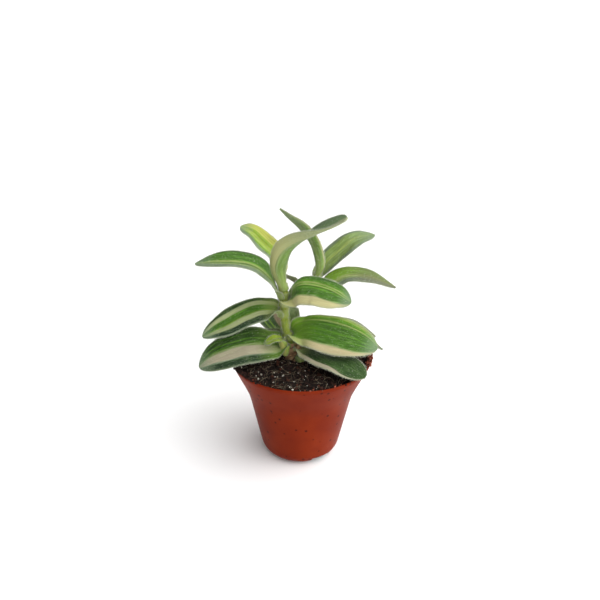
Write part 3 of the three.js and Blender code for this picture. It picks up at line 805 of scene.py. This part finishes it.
def make_stem(place, stem, material):
    """A stem: closed rings that follow its curve, with shallow ridges along it."""
    curve = SmoothCurve(stem["points"])
    rings = int(curve.length / STEM_STEP)
    distance = np.linspace(0, curve.length, rings)
    radius, sheathed = stem_radius(stem, curve.length, distance)
    axis, right, back, _ = stem_frame(curve, distance)
    angle = np.linspace(0, math.tau, STEM_SIDES, endpoint=False)
    ridges = 1 + RIDGE_DEPTH * np.cos(STEM_RIDGES * angle)
    around = radius[:, None] * ridges
    points = (axis[:, None] + (around * np.cos(angle))[..., None] * right[:, None]
              + (around * np.sin(angle))[..., None] * back[:, None])
    places = np.concatenate([points.reshape(-1, 3), axis[[0, -1]]])
    count = rings * STEM_SIDES
    faces = [ring_faces(rings, STEM_SIDES),
             np.concatenate([cap_faces(0, STEM_SIDES, count, True),
                             cap_faces(count - STEM_SIDES, STEM_SIDES, count + 1, False)])]
    height = np.repeat(distance, STEM_SIDES)
    attributes = {
        "height": np.concatenate([height, [0, curve.length]]),
        "sheathed": np.concatenate([np.repeat(sheathed, STEM_SIDES), [0, 0]]),
    }
    piece = add_piece(f"stem_{place}_looks", places, faces, material, attributes)
    dress(piece, "stem", f"stem_{place}")


def stem_material():
    """Green stem tissue: satin and finely lined, pale inside its sheaths and corky brown near the soil."""
    material, tree, shader = new_material(
        "green_stem", Roughness=0.5, Specular_IOR_Level=0.25, Sheen_Weight=0.1, Sheen_Roughness=0.4)
    height = add_node(tree, "ShaderNodeAttribute", attribute_name="height").outputs["Fac"]
    sheathed = add_node(tree, "ShaderNodeAttribute", attribute_name="sheathed").outputs["Fac"]
    place = add_node(tree, "ShaderNodeTexCoord").outputs["Object"]
    across, along = per_metre(STREAK_WIDTH), per_metre(STREAK_LENGTH)
    stretched = add_node(tree, "ShaderNodeMapping",
                         {"Vector": place, "Scale": (across, across, along)}).outputs[0]
    streaks = add_node(tree, "ShaderNodeTexNoise",
                       {"Vector": stretched, "Scale": 1, "Detail": 3, "Roughness": 0.6}).outputs["Fac"]
    green = add_node(tree, "ShaderNodeValToRGB", {"Fac": streaks})
    fill_ramp(green, [(0.3, linear("#68792a")), (0.55, linear("#839233")), (0.75, linear("#9a9650"))])
    bark = add_node(tree, "ShaderNodeValToRGB", {"Fac": streaks})
    fill_ramp(bark, [(0.35, linear("#4a3826")), (0.6, linear("#8a7a56"))])
    colour = fade(tree, green.outputs["Color"], linear("#8f9e52"), sheathed, 0, 1, 0.55, "LINEAR")
    colour = fade(tree, colour, bark.outputs["Color"], height, GREEN_START, CORKY_END, 0.85)
    tree.links.new(colour, shader.inputs["Base Color"])
    bump = add_node(tree, "ShaderNodeBump", {"Height": streaks, "Strength": 0.4, "Distance": 0.2 * MM})
    tree.links.new(bump.outputs["Normal"], shader.inputs["Normal"])
    return material


def stem_hairs(stem, draw):
    """Roots, directions and lengths of the hairs on one stem, with more of them at the sheaths' mouths."""
    curve = SmoothCurve(stem["points"])
    count = int(math.tau * stem["foot_radius"] * curve.length * STEM_HAIRS)
    distance = draw.uniform(STEM_HAIRS_START, curve.length - 0.5, count)
    mouths = [leaf["start"] + leaf["sheath"] for leaf in stem["leaves"]]
    distance = np.concatenate([distance, np.repeat(mouths, MOUTH_HAIRS)])
    angle = draw.uniform(0, math.tau, len(distance))
    radius, _ = stem_radius(stem, curve.length, distance)
    axis, right, back, up = stem_frame(curve, distance)
    outward = right * np.cos(angle)[:, None] + back * np.sin(angle)[:, None]
    ways = unit(outward + up * draw.normal(0.3, 0.4, (len(distance), 1)))
    roots = axis + outward * (radius * 0.97)[:, None]
    return roots, ways, HAIR_LENGTH * draw.uniform(0.5, 1.1, len(distance))


def make_hairs(name, groups, material):
    """One piece of all the hairs in these groups."""
    roots, ways, lengths = (np.concatenate(parts) for parts in zip(*groups))
    points, faces = spikes(roots, ways, lengths, HAIR_RADIUS)
    dress(add_piece(name, points, [faces], material), "leaf")


def make_plant():
    """Both stems with their leaves and hairs, the young leaves at their foot and the dried scales."""
    hair = hair_material()
    green = stem_material()
    for place, stem, seed in (("front", FRONT_STEM, 11), ("back", BACK_STEM, 12)):
        draw = np.random.default_rng(seed)
        make_stem(place, stem, green)
        groups = [stem_hairs(stem, draw)]
        for number, leaf in enumerate(stem["leaves"], 1):
            node = f"leaf_{place}_{number}"
            lay = root_on_stem(stem, leaf)
            blade = make_blade(f"{node}_looks", leaf, lay, leaf_material(f"variegated_{node}", leaf))
            dress(blade, "dry_leaf" if leaf.get("dried") else "leaf", node)
            groups += leaf_hairs(leaf, lay, draw)
        make_hairs(f"hairs_{place}", groups, hair)
    draw = np.random.default_rng(13)
    groups = []
    young = (
        ("side_shoot_looks", SIDE_SHOOT, ["side_shoot"]),
        ("rolled_leaf", ROLLED_LEAF, []),
        ("bud", BUD, []),
    )
    for name, leaf, nodes in young:
        lay = (SmoothCurve([*leaf["root"], *leaf["midrib"]]), np.array(leaf["inward"]), leaf["radius"])
        dress(make_blade(name, leaf, lay, leaf_material(f"young_{name}", leaf)), "leaf", *nodes)
        groups += leaf_hairs(leaf, lay, draw)
    make_hairs("hairs_side_shoot", groups, hair)
    make_scales()


def make_scales():
    """Dried brown remains of the lowest leaf sheaths, as curled scales round the stems' feet, most of
    them at the front."""
    draw = np.random.default_rng(14)
    rows, columns = 7, 7
    share = np.linspace(0, 1, rows)[:, None]
    parts = []
    for stem, number in zip((FRONT_STEM, BACK_STEM), SCALE_COUNTS):
        curve = SmoothCurve(stem["points"])
        for _ in range(number):
            start = draw.uniform(*SCALE_STARTS)
            length = draw.uniform(*SCALE_LENGTHS)
            middle = draw.normal(-math.pi / 2, 0.9)
            half_turn = draw.uniform(*SCALE_HALF_TURNS)
            spread = np.linspace(-1, 1, columns)[None] * half_turn * np.sqrt(1 - 0.9 * share ** 2)
            axis, right, back, _ = stem_frame(curve, np.broadcast_to(start + length * share, (rows, columns)))
            angle = (middle + spread + 0.2 * np.sin(4 * share + middle))[..., None]
            radius = stem["foot_radius"] + draw.uniform(*SCALE_CLEARANCES) + SCALE_FLARE * share ** 2
            radius = radius + 0.12 * np.cos(9 * spread)
            outward = right * np.cos(angle) + back * np.sin(angle)
            outside = axis + outward * radius[..., None]
            inside = axis + outward * (radius - SCALE_THICKNESS)[..., None]
            parts.append((*slab(outside, inside), draw.random()))
    gather("dried_scales", parts, grain_material("dried_sheath"), "dry_leaf")


def slab(front, rear):
    """Points and quads of a closed sheet between two grids of points."""
    rows, columns, _ = front.shape
    index = np.arange(rows * columns).reshape(rows, columns)
    quads = np.stack([index[:-1, :-1], index[:-1, 1:], index[1:, 1:], index[1:, :-1]], -1).reshape(-1, 4)
    edge = np.concatenate([index[0, :-1], index[:-1, -1], index[-1, :0:-1], index[:0:-1, 0]])
    after = np.roll(edge, -1)
    under = rows * columns
    sides = np.stack([after, edge, edge + under, after + under], -1)
    faces = np.concatenate([quads, quads[:, ::-1] + under, sides])
    return np.concatenate([front.reshape(-1, 3), rear.reshape(-1, 3)]), faces


def pot_outline(inset, top_height):
    """The pot's outline from the foot's centre up to a height, moved inwards."""
    arc = np.linspace(-math.pi / 2, -BODY_LEAN, 14)
    radius = FOOT_ROUNDING - inset
    outline = [(0, inset)]
    outline += [(FOOT_FLAT_RADIUS + radius * math.cos(a), FOOT_ROUNDING + radius * math.sin(a)) for a in arc]
    moved = inset * LEVEL_WIDENING
    outline += [(SHOULDER_RADIUS + out - moved, SHOULDER_HEIGHT + up) for out, up in SHOULDER_BEND]
    out, up = SHOULDER_BEND[-1]
    share = (top_height - SHOULDER_HEIGHT - up) / (POT_HEIGHT - SHOULDER_HEIGHT - up)
    start = SHOULDER_RADIUS + out
    outline += [(start + (RIM_RADIUS - start) * share * k / 6 - moved, SHOULDER_HEIGHT + up
                 + (top_height - SHOULDER_HEIGHT - up) * k / 6) for k in range(1, 7)]
    return outline


def lathe(profile, sides):
    """Points and quads of an outline turned round the Z axis, left open where it starts and ends."""
    angle = np.linspace(0, math.tau, sides, endpoint=False)
    rings = np.array([[(r * math.cos(a), r * math.sin(a), z) for a in angle] for r, z in profile])
    return rings.reshape(-1, 3), ring_faces(len(profile), sides)


def make_pot():
    """Thin-walled injection-moulded nursery pot with a rounded lip and two drain notches."""
    outer = pot_outline(0, POT_HEIGHT - LIP_HEIGHT)[1:]
    inner = pot_outline(POT_WALL, POT_HEIGHT - LIP_HEIGHT)[1:][::-1]
    (outer_radius, height), (inner_radius, _) = outer[-1], inner[0]
    middle, half = (outer_radius + inner_radius) / 2, (outer_radius - inner_radius) / 2
    turns = np.linspace(0, math.pi, 9)[1:-1]
    lip = [(middle + half * math.cos(turn), height + LIP_HEIGHT * math.sin(turn)) for turn in turns]
    points, faces = lathe([*outer, *lip, *inner], POT_SIDES)
    count = len(points)
    ends = [(0, 0, 0), (0, 0, POT_WALL)]
    caps = np.concatenate([cap_faces(0, POT_SIDES, count, True),
                           cap_faces(count - POT_SIDES, POT_SIDES, count + 1, False)])
    pot = add_piece("nursery_pot", np.concatenate([points, ends]), [faces, caps], pot_material())
    for notch in range(NOTCH_COUNT):
        cut_notch(pot, FIRST_NOTCH_ANGLE + notch / NOTCH_COUNT * math.tau)
    dress(pot, "pot", "pot")


def cut_notch(pot, turn):
    """Cuts one drain notch through the rounded foot."""
    x = np.array([0, 1, 1, 0, 0, 1, 1, 0]) * FOOT_ROUNDING + NOTCH_START_RADIUS
    y = (np.array([0, 0, 1, 1, 0, 0, 1, 1]) - 0.5) * NOTCH_WIDTH
    z = (np.array([0, 0, 0, 0, 1, 1, 1, 1]) * 2 - 1) * NOTCH_HEIGHT
    cosine, sine = math.cos(turn), math.sin(turn)
    places = np.stack([x * cosine - y * sine, x * sine + y * cosine, z], 1)
    quads = np.array([(3, 2, 1, 0), (4, 5, 6, 7), (0, 1, 5, 4), (1, 2, 6, 5), (2, 3, 7, 6), (3, 0, 4, 7)])
    cutter = add_piece("notch_cutter", places, [quads], pot.data.materials[0])
    cut = pot.modifiers.new("notch", "BOOLEAN")
    cut.operation = "DIFFERENCE"
    cut.object = cutter
    apply_modifiers(pot)
    bpy.data.objects.remove(cutter)


def apply_modifiers(piece):
    """Puts what the piece's modifiers make into its mesh."""
    shown = piece.evaluated_get(bpy.context.evaluated_depsgraph_get())
    mesh = bpy.data.meshes.new_from_object(shown)
    piece.modifiers.clear()
    piece.data = mesh


def pot_material():
    """Injection-moulded polypropylene in terracotta brown: a satin skin, faintly clouded where the melt
    flowed, with small splashed specks of soil."""
    material, tree, shader = new_material(
        "moulded_polypropylene_terracotta", Roughness=0.42, Specular_IOR_Level=0.04)
    place = add_node(tree, "ShaderNodeTexCoord").outputs["Object"]
    cloud = add_node(tree, "ShaderNodeTexNoise",
                     {"Vector": place, "Scale": per_metre(FLOW_CLOUD), "Detail": 4, "Roughness": 0.55})
    tone = add_node(tree, "ShaderNodeValToRGB", {"Fac": cloud.outputs["Fac"]})
    fill_ramp(tone, [(0.3, linear("#671c07")), (0.7, linear("#79270b"))])
    # A speck's radius is up to 0.22 of the specks' spacing, and a quarter of the places stay clean.
    splash = add_node(tree, "ShaderNodeTexVoronoi",
                      {"Vector": place, "Scale": per_metre(SPECK_SPACING), "Randomness": 1})
    speck = add_node(tree, "ShaderNodeMapRange",
                     {"Value": splash.outputs["Distance"], "From Min": 0.22, "From Max": 0.14,
                      "To Min": 0, "To Max": 1}).outputs[0]
    chance = add_node(tree, "ShaderNodeSeparateColor", {0: splash.outputs["Color"]}).outputs[0]
    chosen = add_node(tree, "ShaderNodeMath", {0: chance, 1: 0.25}, operation="GREATER_THAN").outputs[0]
    dirt = add_node(tree, "ShaderNodeMath", {0: speck, 1: chosen}, operation="MULTIPLY").outputs[0]
    colour = fade(tree, tone.outputs["Color"], linear("#2a0a05"), dirt, 0, 1, 0.8, "LINEAR")
    tree.links.new(colour, shader.inputs["Base Color"])
    grain = add_node(tree, "ShaderNodeTexNoise",
                     {"Vector": place, "Scale": per_metre(MOULD_GRAIN), "Detail": 2, "Roughness": 0.5})
    bump = add_node(tree, "ShaderNodeBump",
                    {"Height": grain.outputs["Fac"], "Strength": 0.12, "Distance": 0.05 * MM})
    tree.links.new(bump.outputs["Normal"], shader.inputs["Normal"])
    return material


def soil_height(x, y):
    """How high the soil's surface lies at a place, in millimetres, with clods and crumbs."""
    inside = 1 - math.hypot(x, y) / SOIL_EDGE
    rise = float(smoothstep(inside, 0, 0.2))
    lumps = math.sin(0.55 * x + 1.2) * math.cos(0.43 * y + 0.4) + 0.6 * math.sin(0.9 * y - 0.7 * x)
    clods = noise.fractal(Vector((x * 0.35, y * 0.35, 3.1)), 0.9, 2.1, 5)
    crumbs = abs(noise.noise(Vector((x * 1.4, y * 1.4, 7.7))))
    level = SOIL_HEIGHT + rise * (SOIL_CROWN + SOIL_LUMPS * lumps)
    return level + (0.15 + 0.85 * rise) * (SOIL_CLODS * clods + SOIL_CRUMBS * crumbs) - SOIL_SINK


def make_soil():
    """The potting mix: a crumbly surface, a square grid drawn out to a round one, over a body that
    fills the pot."""
    cells = SOIL_CELLS
    grid = np.linspace(-1, 1, cells + 1)
    u, v = np.meshgrid(grid, grid, indexing="ij")
    safe_u = np.where(np.abs(u) < 1e-9, 1e-9, u)
    safe_v = np.where(np.abs(v) < 1e-9, 1e-9, v)
    wide = np.abs(u) > np.abs(v)
    radius = np.where(wide, u, v)
    angle = np.where(wide, math.pi / 4 * v / safe_u, math.pi / 2 - math.pi / 4 * u / safe_v)
    x, y = radius * np.cos(angle) * SOIL_EDGE, radius * np.sin(angle) * SOIL_EDGE
    top = np.array([(a, b, soil_height(a, b)) for a, b in zip(x.ravel(), y.ravel())])
    row, column = np.meshgrid(np.arange(cells), np.arange(cells), indexing="ij")
    first = row * (cells + 1) + column
    quads = np.stack([first, first + cells + 1, first + cells + 2, first + 1], -1).reshape(-1, 4)
    edge = [i * (cells + 1) for i in range(cells)]
    edge += [cells * (cells + 1) + j for j in range(cells)]
    edge += [(cells - i) * (cells + 1) + cells for i in range(cells)]
    edge += [cells - j for j in range(cells)]
    rim = top[edge]
    outline = pot_outline(POT_WALL + 0.3, SOIL_HEIGHT - 3)[1:][::-1]
    ways = unit(rim[:, :2])
    rings = [np.concatenate([ways * r, np.full((len(ways), 1), z)], 1) for r, z in outline]
    points = np.concatenate([top, *rings, [(0, 0, outline[-1][1])]])
    sides = len(edge)
    chain = np.concatenate([np.array(edge), len(top) + np.arange(len(rings) * sides)])
    walls = chain[ring_faces(len(rings) + 1, sides)]
    floor = cap_faces(len(top) + (len(rings) - 1) * sides, sides, len(points) - 1, True)
    piece = add_piece("soil_body", points, [quads, walls, floor], soil_material())
    dress(piece, "soil", "soil")


def soil_material():
    """Damp milled peat and bark: dull, nearly black where wet, red brown where a crumb has dried."""
    material, tree, shader = new_material("damp_peat", Roughness=0.85, Specular_IOR_Level=0.12)
    place = add_node(tree, "ShaderNodeTexCoord").outputs["Object"]
    peat = add_node(tree, "ShaderNodeTexNoise",
                    {"Vector": place, "Scale": per_metre(PEAT_GRAIN), "Detail": 4, "Roughness": 0.7})
    fine = peat.outputs["Fac"]
    ramp = add_node(tree, "ShaderNodeValToRGB", {"Fac": fine})
    fill_ramp(ramp, [(0.35, linear("#080504")), (0.54, linear("#150e0b")), (0.66, linear("#271811")),
                     (0.76, linear("#3f2a21"))])
    tree.links.new(ramp.outputs["Color"], shader.inputs["Base Color"])
    bump = add_node(tree, "ShaderNodeBump", {"Height": fine, "Strength": 0.7, "Distance": 0.4 * MM})
    tree.links.new(bump.outputs["Normal"], shader.inputs["Normal"])
    return material


def grain_material(name):
    """Loose matter of one kind, each grain with a tone of its own between two colours, and fine pits."""
    dark, light, roughness = GRAIN_LOOKS[name]
    material, tree, shader = new_material(name, Roughness=roughness, Specular_IOR_Level=0.15)
    tone = add_node(tree, "ShaderNodeAttribute", attribute_name="tone").outputs["Fac"]
    colour = fade(tree, linear(dark), linear(light), tone, 0, 1, 1, "LINEAR")
    tree.links.new(colour, shader.inputs["Base Color"])
    place = add_node(tree, "ShaderNodeTexCoord").outputs["Object"]
    pits = add_node(tree, "ShaderNodeTexNoise", {"Vector": place, "Scale": per_metre(GRAIN_PIT), "Detail": 2})
    bump = add_node(tree, "ShaderNodeBump",
                    {"Height": pits.outputs["Fac"], "Strength": 0.5, "Distance": 0.1 * MM})
    tree.links.new(bump.outputs["Normal"], shader.inputs["Normal"])
    return material


def crumb_shape(draw, detail):
    """Points and triangles of one rough grain about 1 across."""
    work = bmesh.new()
    bmesh.ops.create_icosphere(work, subdivisions=detail, radius=0.5)
    shift = Vector(draw.uniform(0, 50, 3))
    squeeze = draw.uniform(0.6, 1.1, 3)
    points = np.array([(v.co * (1 + 0.7 * noise.noise(v.co * 2.6 + shift)))[:] for v in work.verts]) * squeeze
    faces = np.array([[v.index for v in f.verts] for f in work.faces])
    work.free()
    return points, faces


def scatter(name, places, sizes, detail, material, draw):
    """One piece of many rough grains of these sizes, turned at random, at these places."""
    shapes = [crumb_shape(draw, detail) for _ in range(GRAIN_SHAPES)]
    parts = []
    for place, size in zip(places, sizes):
        points, faces = shapes[draw.integers(len(shapes))]
        turn = np.array(Matrix.Rotation(draw.uniform(0, math.tau), 3, Vector(draw.normal(0, 1, 3))))
        parts.append((points @ turn.T * size + place, faces, draw.random()))
    gather(name, parts, material, "soil")


def on_soil(draw, count, reach):
    """Random places on the soil's surface."""
    radius = SOIL_EDGE * reach * np.sqrt(draw.random(count))
    angle = draw.uniform(0, math.tau, count)
    spots = np.stack([radius * np.cos(angle), radius * np.sin(angle)], 1)
    return np.array([(x, y, soil_height(x, y)) for x, y in spots])


def scatter_on_rim(crumbs, material, draw):
    """Crumbs on the rim about one place, heaped up."""
    number = crumbs["number"]
    angle = draw.normal(math.radians(crumbs["middle"]), crumbs["spread"], number)
    radius = RIM_RADIUS - draw.uniform(-0.2, 1.7, number)
    height = POT_HEIGHT + draw.uniform(0, crumbs["heap"], number)
    spots = np.stack([radius * np.cos(angle), radius * np.sin(angle), height], 1)
    scatter(crumbs["name"], spots, draw.uniform(*RIM_CRUMB_SIZES, number), 1, material, draw)


def make_fibres(draw):
    """Coir fibres: thin, slightly bent threads that lie criss-cross on the soil."""
    sides, steps = 4, 6
    share = np.linspace(-0.5, 0.5, steps)
    angle = np.linspace(0, math.tau, sides, endpoint=False)
    last = (steps - 1) * sides
    ends = [(3, 2, 1, 0), (last, last + 1, last + 2, last + 3)]
    faces = np.concatenate([ring_faces(steps, sides), ends])
    parts = []
    for middle in on_soil(draw, FIBRE_COUNT, FIBRE_REACH):
        way = draw.uniform(0, math.tau)
        length = draw.uniform(*FIBRE_LENGTHS)
        heading = way + draw.normal(0, 0.5) * share
        x = middle[0] + length * share * np.cos(heading)
        y = middle[1] + length * share * np.sin(heading)
        reach = np.minimum(1, 0.99 * SOIL_EDGE / np.maximum(np.hypot(x, y), 1e-6))
        x, y = x * reach, y * reach
        feet = [soil_height(a, b) for a, b in ((x[0], y[0]), (x[-1], y[-1]))]
        arch = draw.uniform(0.1, 0.9) * (1 - (2 * share) ** 2)
        path = np.stack([x, y, np.interp(share, (-0.5, 0.5), feet) + arch + FIBRE_RISE], 1)
        slope = unit(np.gradient(path, axis=0))
        right = unit(np.cross(slope, (0.1, 0.2, 1)))
        over = np.cross(right, slope)
        ring = np.cos(angle)[:, None, None] * right + np.sin(angle)[:, None, None] * over
        points = (path + ring * draw.uniform(*FIBRE_RADII)).transpose(1, 0, 2).reshape(-1, 3)
        parts.append((points, faces, draw.random() ** 2))
    gather("coir_fibres", parts, grain_material("dry_coir_fibre"), "soil")


def make_grains():
    """Peat crumbs, bark bits and perlite on the soil, those that spilled onto the rim, and the fibres."""
    draw = np.random.default_rng(5)
    names = ("peat_crumb", "composted_bark", "expanded_perlite", "dried_peat_crumb")
    looks = {name: grain_material(name) for name in names}
    for grains in GRAINS:
        spots = on_soil(draw, grains["number"], grains["reach"]) + (0, 0, grains["lift"])
        small, large = grains["sizes"]
        sizes = small + (large - small) * draw.random(len(spots)) ** grains["smallness"]
        scatter(grains["name"], spots, sizes, grains["detail"], looks[grains["look"]], draw)
    for crumbs in RIM_CRUMBS:
        scatter_on_rim(crumbs, looks[crumbs["look"]], draw)
    make_fibres(draw)


def set_camera():
    """The photograph's viewpoint: its eye, its downward pitch and its slight roll."""
    pitch, roll = math.radians(PITCH), math.radians(ROLL)
    ahead = Vector((0, math.cos(pitch), -math.sin(pitch)))
    right = Vector((1, 0, 0))
    up = right.cross(ahead)
    across = right * math.cos(roll) + up * math.sin(roll)
    over = -right * math.sin(roll) + up * math.cos(roll)
    camera = bpy.data.objects.new("camera", bpy.data.cameras.new("camera"))
    turn = Matrix((across, over, -ahead)).transposed()
    camera.matrix_world = Matrix.Translation(Vector(EYE) * MM) @ turn.to_4x4()
    camera.data.sensor_width = SENSOR_WIDTH
    camera.data.lens = FOCAL_PIXELS * SENSOR_WIDTH / PHOTO_SIDE
    camera.data.clip_start = 0.01
    bpy.context.scene.collection.objects.link(camera)
    bpy.context.scene.camera = camera


def set_stage():
    """A plain white floor under a pale studio sky that glows most on the right, like a large softbox,
    with a weak wide lamp on the same side."""
    corners = np.array([(-1, -1, 0), (1, -1, 0), (1, 1, 0), (-1, 1, 0)]) * FLOOR_HALF
    paint, _, _ = new_material("matt_white_floor", Base_Color=linear("#fafafa"), Roughness=0.9)
    floor = add_piece("floor", corners - (0, 0, FLOOR_GAP), [np.array([(0, 1, 2, 3)])], paint)
    way = Vector(LIGHT_WAY).normalized()
    world = bpy.data.worlds.new("softbox_room")
    world.use_nodes = True
    tree = world.node_tree
    sky = add_node(tree, "ShaderNodeTexCoord").outputs["Generated"]
    toward = add_node(tree, "ShaderNodeVectorMath", {0: sky, 1: way}, operation="DOT_PRODUCT")
    glow = add_node(tree, "ShaderNodeMapRange",
                    {"Value": toward.outputs["Value"], "From Min": 0, "From Max": 1,
                     "To Min": SKY_GLOW, "To Max": SOFTBOX_GLOW},
                    interpolation_type="SMOOTHSTEP").outputs[0]
    tree.links.new(glow, tree.nodes["Background"].inputs["Strength"])
    tree.nodes["Background"].inputs["Color"].default_value = linear("#ffffff")
    bpy.context.scene.world = world
    lamp = bpy.data.lights.new("wide_lamp", "SUN")
    lamp.energy = LAMP_STRENGTH
    lamp.angle = math.radians(LAMP_SPREAD)
    key = bpy.data.objects.new("wide_lamp", lamp)
    key.rotation_euler = way.to_track_quat("Z", "Y").to_euler()
    bpy.context.scene.collection.objects.link(key)
    bpy.context.scene.view_settings.view_transform = "Standard"


set_camera()
set_stage()
make_pot()
make_soil()
make_grains()
make_plant()
